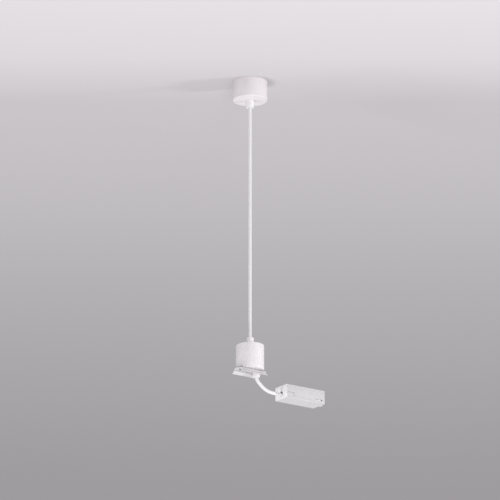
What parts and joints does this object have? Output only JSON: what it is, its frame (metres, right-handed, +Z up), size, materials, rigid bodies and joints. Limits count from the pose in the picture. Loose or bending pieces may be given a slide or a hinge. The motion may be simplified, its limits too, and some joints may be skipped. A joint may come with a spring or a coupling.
{
  "type": "track light power feed",
  "caption": "Pendant power feed for a track light: ceiling canopy, cable with cord grips, can with a track clip, and a short lead to a connector block.",
  "frame": {"origin": "centre of the ceiling plate's upper face, which lies against the ceiling", "axes": "+Z up to the ceiling, so the part hangs to -Z; +X along the track clip towards the connector block"},
  "size_m": [0.1813, 0.06, 0.565],
  "materials": {
    "white_metal": "satin white powder coat",
    "white_plastic": "fine satin moulded white",
    "block_plastic": "fine matt moulded white",
    "end_cap_plastic": "fine satin moulded white",
    "cable_sheath": "smooth satin extruded white",
    "soft_grip": "soft matt",
    "steel": "zinc plated",
    "brass": "plain",
    "core_brown": "smooth extruded",
    "core_blue": "smooth extruded",
    "core_green": "smooth extruded, green and yellow"
  },
  "bodies": {
    "hanging_frame": {"ceiling_plate": "steel", "ceiling_strap": "steel", "ceiling_rivets": "steel", "terminal_housing": "white_plastic", "terminal_tubes": "brass", "terminal_screws": "steel", "terminal_fixing_screws": "steel", "can_strap": "steel", "can_rivets": "steel", "base_plate": "steel", "track_clip": "white_metal", "clip_screws": "steel", "lead_grip_base": "white_plastic", "lead_grip_nut": "steel", "lead_grip_sleeve": "soft_grip", "lead_grip_cap": "white_plastic", "supply_cable": "cable_sheath", "ceiling_live_core": "core_brown", "ceiling_neutral_core": "core_blue", "ceiling_earth_core": "core_green", "block_base": "block_plastic", "block_cover": "block_plastic", "cable_end_cap": "end_cap_plastic", "cover_screws": "steel", "cord_clamp_bar": "block_plastic", "cord_clamp_screws": "steel", "live_contact": "brass", "neutral_contact": "brass", "earth_contact": "brass", "contact_screws": "steel", "block_live_core": "core_brown", "block_neutral_core": "core_blue", "block_earth_core": "core_green"},
    "canopy": {"canopy_cup": "white_metal", "upper_grip_base": "white_plastic", "upper_grip_sleeve": "soft_grip", "upper_grip_cap": "white_plastic"},
    "can": {"can_cover": "white_metal", "lower_grip_base": "white_plastic", "lower_grip_sleeve": "soft_grip", "lower_grip_cap": "white_plastic"},
    "lock": {"lock_slide": "end_cap_plastic"}
  },
  "joints": [
    {"name": "canopy_slide", "type": "slide", "parent": "hanging_frame", "child": "canopy", "axis": [0, 0, -1], "range_m": [0, 0.06]},
    {"name": "can_slide", "type": "slide", "parent": "hanging_frame", "child": "can", "axis": [0, 0, 1], "range_m": [0, 0.06]},
    {"name": "lock_slide_travel", "type": "slide", "parent": "hanging_frame", "child": "lock", "axis": [-1, 0, 0], "range_m": [0, 0.005]}
  ]
}
